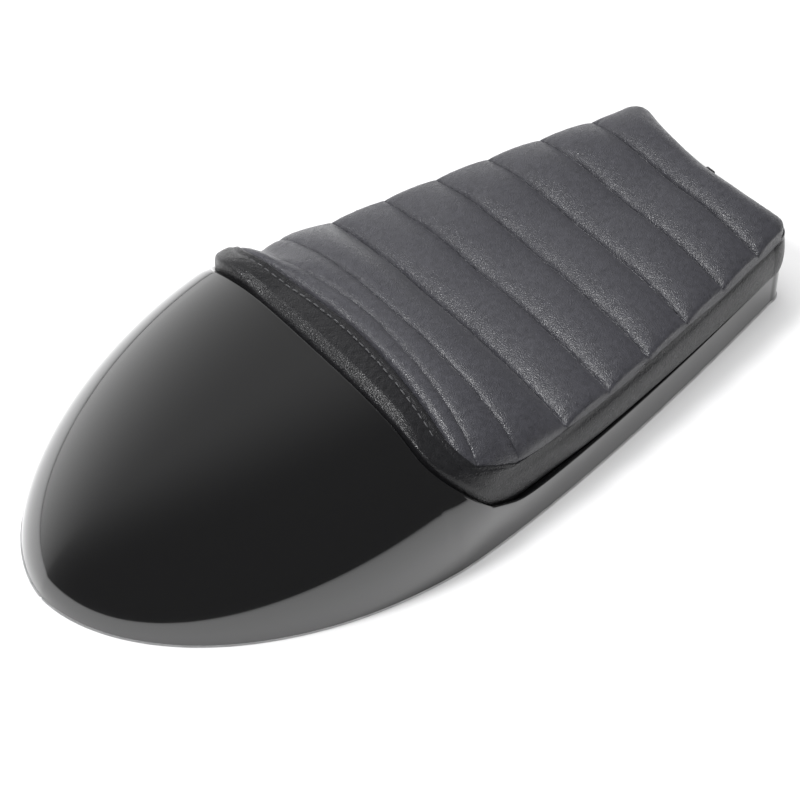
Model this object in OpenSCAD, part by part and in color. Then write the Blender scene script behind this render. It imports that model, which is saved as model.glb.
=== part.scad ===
// Cafe racer seat: a one-piece humped shell, hollow underneath, with a tuck-and-roll pad
// bolted into its recess. Millimetres, +Z up, +X towards the tank, +Y to the rider's left.
// The origin is under the middle of the seat, on the plane of the shell's bottom rim.

/* [Shell outline] */
// Overall length, tail tip to the pad's front edge
seat_l = 605; // [560:5:640]
// Width of the shell at its widest
seat_w = 304; // [280:2:320]
// Width of the shell across the front corners
front_w = 160; // [140:2:190]
// Distance of the widest station behind the shell's front corners
widest_back = 364; // [350:1:375]
// Power of the taper from the widest station to the front
front_taper = 1.38; // [1.2:0.02:1.8]
// Fullness of the tail in plan, along the seat
tail_full = 2.09; // [1.9:0.01:2.4]
// Fullness of the tail in plan, across the seat
tail_round = 1.84; // [1.6:0.02:2.2]
// Depth of the hollow in the front edge, seen from above
front_hollow = 8; // [0:0.5:12]
// Radius of the shell's front corners
corner_r = 14; // [8:1:20]
// Thickness of the moulding
wall = 3; // [2.5:0.5:4]

/* [Hump] */
// Height of the hump at its front lip
hump_h = 99; // [90:1:110]
// Distance of the lip behind the shell's front corners
lip_back = 376; // [368:1:384]
// Power of the hump's rise from the tail, along the seat
hump_rise = 1.22; // [1.1:0.02:1.6]
// Power of the hump's rise from the tail, upwards
hump_crest = 2.03; // [1.8:0.01:2.4]
// Squareness of the hump's section at the tail
tail_square = 1.6; // [1.5:0.1:2.2]
// Squareness of the hump's section at the lip
lip_square = 3.4; // [2.6:0.1:4]
// Length over which the shoulders of the hump run down to the deck
shoulder_l = 86; // [70:2:110]

/* [Deck] */
// Height of the deck that the pad sits on
deck_z = 28; // [24:1:32]
// Gap between the pad and the recess wall
recess_gap = 4; // [3:0.5:5]

/* [Pad] */
// Distance the pad reaches in front of the shell
pad_over = 5; // [3:0.5:8]
// Inset of the pad's lower edge from the shell's edge, at the rear corners
pad_rear_in = 6; // [5.5:0.5:8]
// Inset of the pad's lower edge from the shell's edge, at the front
pad_front_in = 1; // [0.5:0.5:2]
// Height of the pad's seam at the rear
seam_rear_z = 52; // [48:1:56]
// Height of the pad's seam at the front
seam_front_z = 63; // [56:1:66]
// Inset of the seam from the shell's edge at the rear
seam_rear_in = 7; // [6:0.5:10]
// Inset of the seam from the shell's edge at the front
seam_front_in = 0; // [-2:0.5:4]
// Height of the grooves' ends over the seam
shoulder_rise = 5; // [3:0.5:7]
// Height of the grooves' middles over their ends
crown = 9; // [5:1:14]
// Distance the side band bulges past its lower edge, in front of the recess
band_bulge = 4; // [2:0.5:5]
// Distance the side band bulges past its lower edge, in the recess
recess_bulge = 1.5; // [0.5:0.5:2]
// Thickness of the sewn cover with its wadding
cover_t = 6; // [4:0.5:8]
// Thickness of the side band
band_t = 8; // [6:0.5:10]
// Radius of the pad's rear corners, seen from above
pad_rear_r = 35; // [30:1:40]
// Radius of the ribbed cover's rear corners, seen from above
seam_rear_r = 36; // [30:1:42]
// Radius of the pad's front corners, seen from above
pad_front_r = 22; // [14:1:28]

/* [Ribs] */
// Distance from one groove to the next
rib_pitch = 43.8; // [42:0.2:45]
// Height of a rib over its grooves
rib_h = 6.5; // [3:0.5:9]
// Length of the front rib
front_rib_l = 41.4; // [36:0.2:46]
// Number of full-length ribs
rib_count = 6; // [6:1:6]
// Length of the second of the two narrow ribs in front of the bolster
slope_rib_l = 18; // [16:0.5:19]
// Height of the narrow ribs over their grooves
slope_rib_h = 2.5; // [1:0.5:4]

/* [Bolster] */
// Height of the bolster's front seam over the lip
bolster_rise = -1.5; // [-3:0.5:2]
// Squareness of the bolster's section across the seat
bolster_square = 2.4; // [2:0.05:3]
// Height of the bolster's roll over the hump's lip
roll_rise = 3; // [1:0.5:6]
// Sweep of the bolster's front seam towards the tail, at its ends
seam_sweep = 15; // [0:1:16]
// Sweep of the groove behind the second narrow rib
groove_0_sweep = 19; // [0:1:20]
// Sweep of the groove in front of the second narrow rib
groove_1_sweep = 3; // [0:1:6]
// Depth of the bolster's top, from its rear face to its front seam
bolster_d = 32.5; // [30:0.5:34]
// Distance of the topstitch from the bolster's front seam
topstitch_in = 7; // [4:0.5:9]
// Number of stitches in the topstitch
topstitch_n = 30; // [20:2:36]
// Radius of the thread
thread_r = 0.5; // [0.3:0.1:0.7]

/* [Base board and fixings] */
// Thickness of the pad's base board
board_t = 5; // [4:0.5:8]
// Radius of the studs that hold the pad
stud_r = 3; // [2.5:0.5:4]
// Clearance round a stud
stud_gap = 0.25; // [0.15:0.05:0.5]
// Radius of the washers under the deck
washer_r = 9; // [7:0.5:10]
// Thickness of the washers
washer_t = 1.6; // [1:0.2:2]
// Width of the nuts across their flats
nut_af = 10; // [8:1:13]
// Height of the nuts
nut_h = 6; // [4:0.5:8]

/* [Frame mounts] */
// Spacing of the frame mounts along the seat
mount_dx = 210; // [180:5:220]
// Spacing of the frame mounts across the seat
mount_dy = 100; // [80:5:110]
// Position of the middle of the mounts in front of the origin
mount_x = 120; // [110:5:130]
// Wall radius of the threaded bore
bore_r = 3.4; // [2.5:0.1:4]
// Outside radius of the threaded bush
bush_r = 7; // [6:0.5:8]
// Length of the threaded bush
bush_l = 14; // [10:1:15]
// Radius of the moulded boss round a bush
boss_r = 13; // [11:0.5:15]
// Height of the bosses' lower faces over the bottom rim
boss_z = 8; // [6:1:10]

/* [Hidden] */
tail_x = -seat_l / 2;
front_x = seat_l / 2 - pad_over;
wide_x = front_x - widest_back;
lip_x = front_x - lip_back;
pad_x = lip_x + recess_gap;
seam_x = pad_x + bolster_d;
groove_1 = front_x - front_rib_l - rib_count * rib_pitch;
groove_0 = groove_1 - slope_rib_l;
groove_2 = groove_1 + rib_pitch;
board_top = deck_z + board_t;
foam_in = pad_rear_in + band_t;
foam_rear_r = pad_rear_r - band_t;
foam_front_r = pad_front_r - band_t;
bush_fit = 0.05;
relief_r = bore_r + 1.1;
roll_drop = 5;
roll_blend = 6;
roll_bow = 0.06;
crown_flat = 2.5;
bolster_flat = 28;
bolster_fall = 1.83;
sweep_power = 1.6;
end_square = 8;
bulge_run = 60;
deck_square = 8;
nose_l = 36;
hollow_l = 55;
hollow_clear = 5;
seam_lap = 4;
seam_tuck = 1.5;
seam_drop = 0.8;
tuck_depth = 2;
stud_tail = 2;
tab_w = 9;
tab_h = 4;
tab_t = 3;
tab_gap = 0.05;
cut = 1;
arc_n = 28;
tail_n = 20;
shoulder_n = 6;
rear_stud_y = seat_w / 2 - foam_in - 55;
front_stud_x = mount_x + mount_dx / 2 + boss_r + washer_r + 3;
STUDS = [[seam_x, rear_stud_y], [mount_x, rear_stud_y], [front_stud_x, front_w / 4]];

// Loops round the band: share of its wall's height, share of the way in to the seam, bulge
BAND = [[0, 0, 0], [0.15, 0, 0.7], [0.45, 0, 1], [0.75, 0, 0.9], [1, 0, 0.5],
    [1, 0.12, 0.2], [1, 0.35, 0], [1, 0.68, 0]];

function mix(a, b, t) = a + (b - a) * t;

function smooth(t) = let (c = max(0, min(1, t))) c * c * (3 - 2 * c);

function sgn(v) = v < 0 ? -1 : 1;

// Quarter of a superellipse: height at share v of the half width
function dome(v, power) = pow(max(0, 1 - pow(min(1, abs(v)), power)), 1 / power);

// Half width of the shell at station x, inset by d
function half_w(x, d = 0) =
    x >= wide_x
    ? seat_w / 2 - d - (seat_w - front_w) / 2 * pow((x - wide_x) / (front_x - wide_x), front_taper)
    : (seat_w / 2 - d)
        * pow(max(0, 1 - pow(min(1, (wide_x - x) / (wide_x - tail_x - d)), tail_full)), 1 / tail_round);

// Height of the hump's crest at station x, inset by d
function crest_z(x, d = 0) =
    x <= lip_x
    ? (hump_h - d)
        * pow(max(0, 1 - pow(min(1, (lip_x - x) / (lip_x - tail_x - d)), hump_rise)), 1 / hump_crest)
    : mix(hump_h, deck_z, smooth((x - lip_x) / shoulder_l)) - d;

// Squareness of the section at station x
function square_at(x) =
    x <= lip_x
    ? mix(tail_square, lip_square, (x - tail_x) / (lip_x - tail_x))
    : mix(lip_square, deck_square, smooth((x - lip_x) / shoulder_l));

// Stations of the humped body, closer together towards the tail's tip
function hump_stations(d) = concat(
    [for (i = [0:tail_n]) mix(tail_x + d + 0.1, lip_x, pow(i / tail_n, 2))],
    [for (i = [1:shoulder_n]) lip_x + shoulder_l * i / shoulder_n]);

function hump_ring(x, d) = let (w = half_w(x, d), h = crest_z(x, d), e = 2 / square_at(x)) concat(
    [[x, w, -cut]],
    [for (i = [0:arc_n]) let (a = 180 * i / arc_n, c = cos(a))
        [x, w * sgn(c) * pow(abs(c), e), h * pow(abs(sin(a)), e)]],
    [[x, -w, -cut]]);

// Height of the pad's seam line at station x
function seam_z(x) = mix(seam_rear_z, seam_front_z, (x - lip_x) / (front_x - lip_x));

// Inset of the seam from the shell's edge at station x
function seam_in(x) = mix(seam_rear_in, seam_front_in, (x - groove_1) / (front_x - groove_1));

// Reduction of the half width at a rounded corner of radius r, t past the end
function corner_cut(t, r) = t >= r ? 0 : r - sqrt(max(0, r * r - (r - t) * (r - t)));

// Share of the bolster's height left at station x
function bolster_at(x) = 1 - pow(max(0, min(1, (x - pad_x - bolster_flat)
    / (groove_2 - pad_x - bolster_flat))), bolster_fall);

// Height of the seam line at the point x, y of the pad, raised over the bolster
function base_z(x, y) = seam_z(x)
    + bolster_at(x) * (hump_h + bolster_rise - seam_z(x))
        * dome(y / (half_w(x) - seam_in(x)), bolster_square);

// Sweep of the grooves and the seam towards the tail at station x, at the cover's side
function sweep_at(x) =
    x < groove_0 ? mix(seam_sweep, groove_0_sweep, (x - seam_x) / (groove_0 - seam_x))
    : x < groove_1 ? mix(groove_0_sweep, groove_1_sweep, (x - groove_0) / slope_rib_l)
    : groove_1_sweep * max(0, 1 - (x - groove_1) / rib_pitch);

// Station x swept back at the distance y from the middle
function swept(x, y) = x - sweep_at(x) * pow(abs(y) / (half_w(x) - seam_in(x)), sweep_power);

// Height of the pad's rolled edge at the point x, y of its outline: over the lip or beside the deck
function edge_z(x, y) = let (a = seam_z(x) - roll_drop,
    b = crest_z(x) * dome(y / half_w(x), square_at(x)) + roll_rise)
    (a + b + sqrt((a - b) * (a - b) + roll_blend * roll_blend)) / 2;

// Share of the crown at station x
function crown_at(x) = x < groove_2
    ? smooth((x - seam_x) / (groove_2 - seam_x))
    : dome(max(0, x - front_x + nose_l) / (nose_l + pad_over - seam_lap), 2.4);

// Share of the rise at the grooves' ends left at station x
function shoulder_at(x) = x < groove_2
    ? 1 - bolster_at(x)
    : dome(max(0, x - front_x + nose_l) / (nose_l + pad_over - seam_lap), end_square);

// The pad's smooth top surface under its ribs, at share v of the half width
function pad_z(x, y, v) = base_z(x, y)
    + shoulder_rise * shoulder_at(x) * dome(v, end_square)
    + crown * crown_at(x) * (1 - pow(abs(v), crown_flat));

// Rib height over the smooth surface, at station x and share v of the half width
function rib_at(x, v) =
    let (s = x < groove_0 ? (x - seam_x) / (groove_0 - seam_x)
            : x < groove_1 ? (x - groove_0) / slope_rib_l
            : x < front_x - front_rib_l ? (x - groove_1) / rib_pitch
            - floor((x - groove_1) / rib_pitch + 0.001)
            : (x - front_x + front_rib_l) / (front_rib_l + pad_over - seam_lap),
        h = x < groove_1 ? slope_rib_h : rib_h)
    h * pow(max(0, 1 - pow(abs(2 * s - 1), 2)), 0.6) * dome(v, 6);

// Stations of the ribbed cover: the rounded corners' and six to a rib
RIB_STEPS = [0, 0.07, 0.22, 0.5, 0.78, 0.93];
RIB_STATIONS = concat(
    [for (t = [0, 0.04, 0.15, 0.35, 0.6, 0.82]) mix(seam_x, groove_0, t)],
    [for (t = [0, 0.1, 0.3, 0.6, 0.85]) mix(groove_0, groove_1, t)],
    [for (k = [0:rib_count - 1]) for (t = RIB_STEPS) groove_1 + (k + t) * rib_pitch],
    [for (t = [0, 0.07, 0.22, 0.45, 0.66, 0.82, 0.92, 0.98, 1])
        mix(front_x - front_rib_l, front_x + pad_over - seam_lap, t)]);
RIB_SHARES = [for (a = [-90:10:90]) sin(a)];
FOAM_STATIONS = let (a = pad_x + band_t, b = front_x - foam_in) concat(
    [for (t = [0, 0.5, 2, 5, 10, 18, 26, 36, 46, 58, 72]) a + t],
    [for (i = [1:8]) mix(a + 72, b - 18, i / 8)],
    [for (t = [10, 4, 1, 0]) b - t]);
FOAM_SHARES = [for (a = [-90:15:90]) sin(a)];

// Half width of the ribbed cover and of the foam at station x
function cover_half(x) = half_w(x) - seam_in(x)
    - corner_cut(x - seam_x, seam_rear_r)
    - corner_cut(front_x + pad_over - seam_lap - x, pad_front_r);

function foam_half(x) = half_w(x) - foam_in
    - corner_cut(x - pad_x - band_t, foam_rear_r)
    - corner_cut(front_x - foam_in - x, foam_front_r);

// Shift of a point towards the tail by the hollow of the front edge
function hollow(x, v) = front_hollow * (1 - v * v)
    * smooth((x - front_x + hollow_l + hollow_clear) / hollow_l);

// Half outline seen from above, rear middle to front middle, as [x, y, share along the front]
function outline(x_rear, r_rear, in_rear, in_front, x_end, r_front) =
    let (xs = x_rear + r_rear,
        xe = x_end - r_front,
        side = function (x) -(half_w(x) - mix(in_rear, in_front, (x - xs) / (xe - xs))),
        yr = side(xs) + r_rear,
        yf = side(xe) + r_front)
    concat(
        [for (i = [0:7]) [x_rear, yr * i / 8]],
        [for (i = [0:7]) let (a = 90 * i / 8) [xs - r_rear * cos(a), yr - r_rear * sin(a)]],
        [for (i = [0:9]) let (x = mix(xs, xe, i / 10)) [x, side(x)]],
        [for (i = [0:5]) let (a = 90 * i / 6) [xe + r_front * sin(a), yf - r_front * cos(a)]],
        [for (i = [0:5]) let (v = 1 - i / 5) [x_end - front_hollow * (1 - v * v), yf * v]]);

// A whole closed outline from the half one
function both(half) = concat(half,
    [for (i = [len(half) - 2:-1:1]) [half[i][0], -half[i][1]]]);

PAD_EDGE = both(outline(pad_x, pad_rear_r, pad_rear_in, pad_front_in,
    front_x + pad_over - band_bulge, pad_front_r));
SEAM_EDGE = [for (p = both(outline(seam_x + seam_tuck, seam_rear_r, seam_rear_in + seam_tuck,
    seam_front_in + seam_tuck, front_x + pad_over - seam_lap - seam_tuck, pad_front_r)))
    [swept(p[0], p[1]), p[1]]];

// Outward unit normal of a closed outline at point i
function normal_at(pts, i) = let (n = len(pts),
    d = pts[(i + 1) % n] - pts[(i + n - 1) % n],
    l = norm([d[0], d[1]])) [d[1] / l, -d[0] / l];

// One loop round the band: b holds its share of height, way in and bulge
function band_loop(b) = [for (i = [0:len(PAD_EDGE) - 1])
    let (p = PAD_EDGE[i], s = SEAM_EDGE[i], m = normal_at(PAD_EDGE, i),
        bulge = b[2] * mix(recess_bulge, band_bulge, smooth((p[0] - lip_x - shoulder_l) / bulge_run)),
        bow = roll_bow * norm([s[0] - p[0], s[1] - p[1]]) * sin(180 * b[1]),
        top = mix(edge_z(p[0], p[1]), base_z(s[0], s[1]), 1 - pow(1 - b[1], 2)) + bow)
    [mix(p[0], s[0], b[1]) + m[0] * bulge,
        mix(p[1], s[1], b[1]) + m[1] * bulge,
        mix(deck_z, top, b[0])]];

function seam_loop(drop) = [for (s = SEAM_EDGE) [s[0], s[1], base_z(s[0], s[1]) - drop]];

// Mean of a list of points
function mean(pts) = [for (k = [0:2]) [for (p = pts) 1] * [for (p = pts) p[k]] / len(pts)];

// Closed solid through a list of rings with equal numbers of points, each end a fan
module loft(rings) {
    n = len(rings[0]);
    m = len(rings);
    points = concat([for (r = rings) for (p = r) p], [mean(rings[0]), mean(rings[m - 1])]);
    sides = [for (j = [0:m - 2]) for (i = [0:n - 1]) let (a = j * n + i, b = j * n + (i + 1) % n)
        for (f = [[a, a + n, b], [b, a + n, b + n]]) f];
    ends = [for (i = [0:n - 1]) let (k = (i + 1) % n, top = (m - 1) * n)
        for (f = [[i, k, m * n], [top + k, top + i, m * n + 1]]) f];
    polyhedron(points, concat(sides, ends));
}

// Closed solid under a top surface given as rows of points, down to the heights of base
module height_block(rows, base) {
    n = len(rows[0]);
    m = len(rows);
    top = [for (r = rows) for (p = r) p];
    rim = concat(
        [for (j = [0:n - 1]) j],
        [for (i = [1:m - 1]) i * n + n - 1],
        [for (j = [n - 2:-1:0]) (m - 1) * n + j],
        [for (i = [m - 2:-1:1]) i * n]);
    k = len(rim);
    low = [for (r = rim) let (p = top[r]) [p[0], p[1], base[0] + base[1] * p[0]]];
    skin = [for (i = [0:m - 2]) for (j = [0:n - 2]) let (a = i * n + j)
        for (f = [[a, a + 1, a + n], [a + 1, a + n + 1, a + n]]) f];
    sides = [for (i = [0:k - 1]) let (a = rim[i], b = rim[(i + 1) % k], c = m * n + i,
        d = m * n + (i + 1) % k) for (f = [[a, c, b], [b, c, d]]) f];
    polyhedron(concat(top, low), concat(skin, sides, [[for (i = [k - 1:-1:0]) m * n + i]]));
}

// Tilted plane of the seam line, a given depth below it, as [height at x = 0, slope]
function seam_plane(depth) = let (slope = (seam_front_z - seam_rear_z) / (front_x - lip_x))
    [seam_z(0) - depth, slope];

// Body of the ribbed cover, raised by lift to make a cutter
module cover_body(lift) {
    height_block([for (x = RIB_STATIONS) let (w = cover_half(x)) [for (v = RIB_SHARES)
        let (s = swept(x, w * v))
        [s - hollow(x, v), w * v, pad_z(s, w * v, v) + rib_at(x, v) + lift]]],
        seam_plane(cover_t + tuck_depth));
}

// Body of the foam, down to the height low
module foam_body(low) {
    height_block([for (x = FOAM_STATIONS) let (w = foam_half(x)) [for (v = FOAM_SHARES)
        [x - hollow(x, v), w * v, pad_z(x, w * v, v) - cover_t]]],
        [low, 0]);
}

// Plan of the foam, which the base board shares
function foam_plan() = let (m = len(FOAM_STATIONS) - 1, n = len(FOAM_SHARES) - 1,
    e = FOAM_STATIONS[m])
    concat(
        [for (i = [0:m]) [FOAM_STATIONS[i], -foam_half(FOAM_STATIONS[i])]],
        [for (j = [1:n - 1]) let (v = FOAM_SHARES[j]) [e - hollow(e, v), foam_half(e) * v]],
        [for (i = [m:-1:0]) [FOAM_STATIONS[i], foam_half(FOAM_STATIONS[i])]]);

module hump_body(d) {
    loft([for (x = hump_stations(d)) hump_ring(x, d)]);
}

// Front part of the shell, inset by d, up to height z
module tray(d, z) {
    half = outline(lip_x + shoulder_l / 2, wall, d, d, front_x - d, corner_r);
    translate([0, 0, -cut])
        linear_extrude(z + cut)
            polygon([for (p = both(half)) [p[0], p[1]]]);
}

// Plan of the recess, grown by d past the pad's edge
module recess_plan(d) {
    half = outline(pad_x - d, pad_rear_r + d, pad_rear_in - d, pad_front_in - d,
        front_x + pad_front_r + pad_over, pad_front_r);
    polygon([for (p = both(half)) [p[0], p[1]]]);
}

module at_studs() {
    for (p = STUDS) {
        for (s = [-1, 1]) {
            translate([p[0], s * p[1], 0]) children();
        }
    }
}

module at_mounts() {
    for (i = [-1, 1]) {
        for (s = [-1, 1]) {
            translate([mount_x + i * mount_dx / 2, s * mount_dy / 2, 0]) children();
        }
    }
}

module shell_skin() {
    difference() {
        union() {
            hump_body(0);
            tray(0, deck_z);
        }
        translate([0, 0, deck_z])
            linear_extrude(hump_h)
                recess_plan(recess_gap);
        difference() {
            union() {
                hump_body(wall);
                tray(wall, deck_z - wall);
            }
            translate([0, 0, deck_z - wall])
                linear_extrude(hump_h)
                    recess_plan(recess_gap + wall);
        }
        translate([-seat_l, -seat_w, -2 * cut])
            cube([2 * seat_l, 2 * seat_w, 2 * cut]);
    }
}

module tail_shell() {
    color([0.03, 0.03, 0.035])
        difference() {
            union() {
                shell_skin();
                at_mounts()
                    translate([0, 0, boss_z])
                        cylinder(r = boss_r, h = deck_z - wall / 2 - boss_z, $fn = 48);
            }
            at_mounts()
                translate([0, 0, boss_z - cut])
                    cylinder(r = bush_r + bush_fit, h = bush_l + cut, $fn = 48);
            at_mounts()
                cylinder(r = relief_r, h = deck_z + cut, $fn = 32);
            at_studs()
                cylinder(r = stud_r + stud_gap, h = deck_z + cut, $fn = 32);
        }
}

module base_board() {
    color([0.3, 0.22, 0.15])
        difference() {
            translate([0, 0, deck_z])
                linear_extrude(board_t)
                    polygon(foam_plan());
            at_studs()
                cylinder(r = stud_r + stud_gap, h = board_top + cut, $fn = 32);
        }
}

module foam_core() {
    color([0.85, 0.8, 0.6])
        difference() {
            foam_body(board_top);
            at_studs()
                translate([0, 0, board_top - cut])
                    cylinder(r = washer_r, h = washer_t + cut, $fn = 32);
        }
}

module rib_cover() {
    color([0.2, 0.2, 0.22])
        difference() {
            cover_body(0);
            foam_body(board_top);
        }
}

module side_band() {
    color([0.17, 0.17, 0.19])
        difference() {
            loft(concat([for (b = BAND) band_loop(b)], [seam_loop(seam_drop)]));
            cover_body(hump_h);
            foam_body(deck_z - cut);
        }
}

module front_tab() {
    color([0.15, 0.15, 0.17])
        translate([front_x - front_hollow + pad_over - seam_lap + tab_gap,
                -tab_w / 2, seam_z(front_x) - tab_h])
            cube([tab_t, tab_w, tab_h]);
}

module stitch(a, b) {
    d = b - a;
    translate(a)
        rotate([0, acos(d[2] / norm(d)), atan2(d[1], d[0])])
            cylinder(r = thread_r, h = norm(d), $fn = 16);
}

// Point of the topstitch at the distance y from the middle, on the bolster's top
function stitch_at(y) = let (
    s = swept(seam_x, y),
    way = 1 - topstitch_in / (s - pad_x),
    bow = roll_bow * (s - pad_x) * sin(180 * way))
    [s - topstitch_in, y,
        mix(edge_z(pad_x, y), base_z(s, y), 1 - pow(1 - way, 2)) + bow + thread_r];

module topstitch() {
    w = seat_w / 2 - seam_rear_in - seam_rear_r;
    color([0.1, 0.1, 0.11])
        for (i = [0:topstitch_n - 1]) {
            stitch(stitch_at(mix(-w, w, (i + 0.2) / topstitch_n)),
                stitch_at(mix(-w, w, (i + 0.8) / topstitch_n)));
        }
}

module pad_studs() {
    color([0.6, 0.6, 0.62])
        at_studs() {
            translate([0, 0, board_top])
                cylinder(r = washer_r, h = washer_t, $fn = 48);
            translate([0, 0, deck_z - wall - washer_t - nut_h - stud_tail])
                cylinder(r = stud_r, h = wall + washer_t + nut_h + stud_tail + board_t, $fn = 32);
        }
}

module pad_washers() {
    color([0.65, 0.65, 0.67])
        at_studs()
            translate([0, 0, deck_z - wall - washer_t])
                difference() {
                    cylinder(r = washer_r, h = washer_t, $fn = 48);
                    translate([0, 0, -cut])
                        cylinder(r = stud_r + stud_gap, h = washer_t + 2 * cut, $fn = 32);
                }
}

module pad_nuts() {
    color([0.62, 0.62, 0.64])
        at_studs()
            translate([0, 0, deck_z - wall - washer_t - nut_h])
                difference() {
                    cylinder(d = nut_af / cos(30), h = nut_h, $fn = 6);
                    translate([0, 0, -cut])
                        cylinder(r = stud_r + stud_gap / 2, h = nut_h + 2 * cut, $fn = 32);
                }
}

module mount_bushes() {
    color([0.7, 0.65, 0.5])
        at_mounts()
            translate([0, 0, boss_z])
                difference() {
                    cylinder(r = bush_r, h = bush_l, $fn = 48);
                    translate([0, 0, -cut])
                        cylinder(r = bore_r, h = bush_l + 2 * cut, $fn = 48);
                }
}

tail_shell();
base_board();
foam_core();
rib_cover();
side_band();
front_tab();
topstitch();
pad_studs();
pad_washers();
pad_nuts();
mount_bushes();
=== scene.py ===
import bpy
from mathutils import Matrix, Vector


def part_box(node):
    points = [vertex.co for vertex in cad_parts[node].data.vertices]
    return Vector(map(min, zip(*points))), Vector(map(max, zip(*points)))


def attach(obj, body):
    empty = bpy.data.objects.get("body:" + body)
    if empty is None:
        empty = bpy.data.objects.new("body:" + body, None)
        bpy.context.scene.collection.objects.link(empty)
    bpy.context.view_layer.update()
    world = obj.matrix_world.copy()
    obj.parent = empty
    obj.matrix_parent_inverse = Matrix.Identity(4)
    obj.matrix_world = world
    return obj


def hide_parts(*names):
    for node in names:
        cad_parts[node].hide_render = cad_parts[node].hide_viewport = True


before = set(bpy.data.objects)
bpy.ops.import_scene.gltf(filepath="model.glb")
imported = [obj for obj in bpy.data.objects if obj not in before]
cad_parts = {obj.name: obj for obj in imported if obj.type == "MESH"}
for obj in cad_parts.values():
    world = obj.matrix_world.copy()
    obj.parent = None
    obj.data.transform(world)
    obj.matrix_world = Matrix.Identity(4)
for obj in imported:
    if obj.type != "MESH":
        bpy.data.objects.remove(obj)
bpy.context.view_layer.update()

import math

import bmesh
import bpy
import numpy as np
from mathutils import Matrix, Vector

# Cafe racer seat. Lengths are in millimetres and angles in degrees, as in the part's source.
MM = 0.001
MIRROR = np.array([1, -1, 1])

# Shell in plan: the widest station and the lip's are measured back from the deck's front edge
SEAT_L, SEAT_W, FRONT_W = 605.0, 304.0, 160.0
WIDEST_BACK, LIP_BACK = 364.0, 376.0
FRONT_TAPER, TAIL_FULL, TAIL_ROUND = 1.38, 2.09, 1.84
CORNER_R, FRONT_HOLLOW, HOLLOW_RUN, HOLLOW_BLEND = 14.0, 8.0, 60.0, 55.0

# Hump and deck: heights, and the powers of the crest and of the sections
HUMP_H, HUMP_RISE, HUMP_CREST = 99.0, 1.22, 2.03
TAIL_SQUARE, LIP_SQUARE, DECK_SQUARE, SHOULDER_L = 1.6, 3.4, 8.0, 86.0
DECK_Z, RECESS_GAP, RECESS_PAST = 28.0, 4.0, 30.0

# Pad: its place in the recess, thicknesses, seam heights and corner radii
PAD_OVER, PAD_REAR_IN, PAD_FRONT_IN = 5.0, 6.0, 1.0
BAND_T, COVER_T, BOARD_T, SEAM_LAP = 8.0, 6.0, 5.0, 4.0
SEAM_REAR_Z, SEAM_FRONT_Z, SEAM_REAR_IN, SEAM_FRONT_IN = 52.0, 63.0, 7.0, 0.0
PAD_REAR_R, PAD_FRONT_R, SEAM_REAR_R, SEAM_CORNER_R = 35.0, 22.0, 36.0, 15.0
CROWN, CROWN_POWER, NOSE_POWER, NOSE_L = 9.0, 2.5, 2.4, 36.0
SHOULDER_RISE, SHOULDER_POWER = 5.0, 8
BAND_BULGE, RECESS_BULGE, BULGE_RUN = 4.0, 1.5, 60.0

# Ribs, and how far each groove sweeps back at its ends
RIB_PITCH, RIB_H, FRONT_RIB_L, RIB_COUNT = 43.8, 6.5, 41.4, 6
SLOPE_RIB_L, SLOPE_RIB_H, SLOPE_RIBS = 18.0, 2.5, 2
SEAM_SWEEP, GROOVE_0_SWEEP, GROOVE_1_SWEEP, SWEEP_POWER = 15.0, 19.0, 3.0, 1.6

# Bolster over the lip, the roll's steep face behind it, and its topstitching
BOLSTER_RISE, BOLSTER_SQUARE, BOLSTER_D = -1.5, 2.4, 32.5
BOLSTER_FLAT, BOLSTER_FALL = 28.0, 1.83
ROLL_RISE, ROLL_DROP, ROLL_BLEND, ROLL_BOW = 3.0, 5.0, 6.0, 0.06
EDGE_DROP, ROLL_SLOPE, ROLL_FACE, ROLL_EDGE_R = 1.0, 0.95, 7.5, 1.3
TOPSTITCH_IN, TOPSTITCH_N, THREAD_R = 7.0, 30, 0.5
STITCH_START, STITCH_END, STITCH_SINK, STITCH_ARCH, STITCH_WANDER = 0.14, 0.86, 0.6, 0.55, 0.15

# Sewing on the cover: depths and heights of its folds, each with the distance it fades over
ROLL_POWER, ROLL_FULL, RIGHT_END, LEFT_END, LEFT_END_FULL, STUFFING = 2.1, 0.92, 5, 4, 0.75, 0.06
CREASE, CREASE_VARY, CREASE_FADE, CREASE_START, SLOPE_CREASE = 2.0, 0.4, 1.6, 5.0, 0.6
TUCK, TUCK_FADE, REAR_TUCK, REAR_TUCK_FADE = 2.3, 1.3, 1.2, 2.5
CHANNEL_FOLD, CHANNEL_FOLD_MORE, CHANNEL_FADE, CHANNEL_SIDE_FADE = 0.16, 0.3, 5.0, 16.0
SIDE_FOLD, SIDE_FADE, SIDE_FRONT, SIDE_REAR, SIDE_X, SIDE_RUN = 0.3, 7.0, 0.55, 0.9, 60.0, 110.0
DIMPLE, DIMPLE_L, DIMPLE_W, DIMPLE_START = 0.35, 23.0, 31.0, 12.0
WANDER, WANDER_L, WANDER_START = 0.7, 26.0, 15.0
SWELL, SLOPE_SWELL, SWELL_FADE, SWELL_START, SIDE_SPREAD = 1.4, 0.3, 6.0, 1.5, 0.7
COVER_SINK, FOAM_UNDER, FOAM_EASE, FOAM_EASE_FADE, FOAM_ROUGH = 2.0, 0.5, 2.0, 3.0, 0.2

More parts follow.
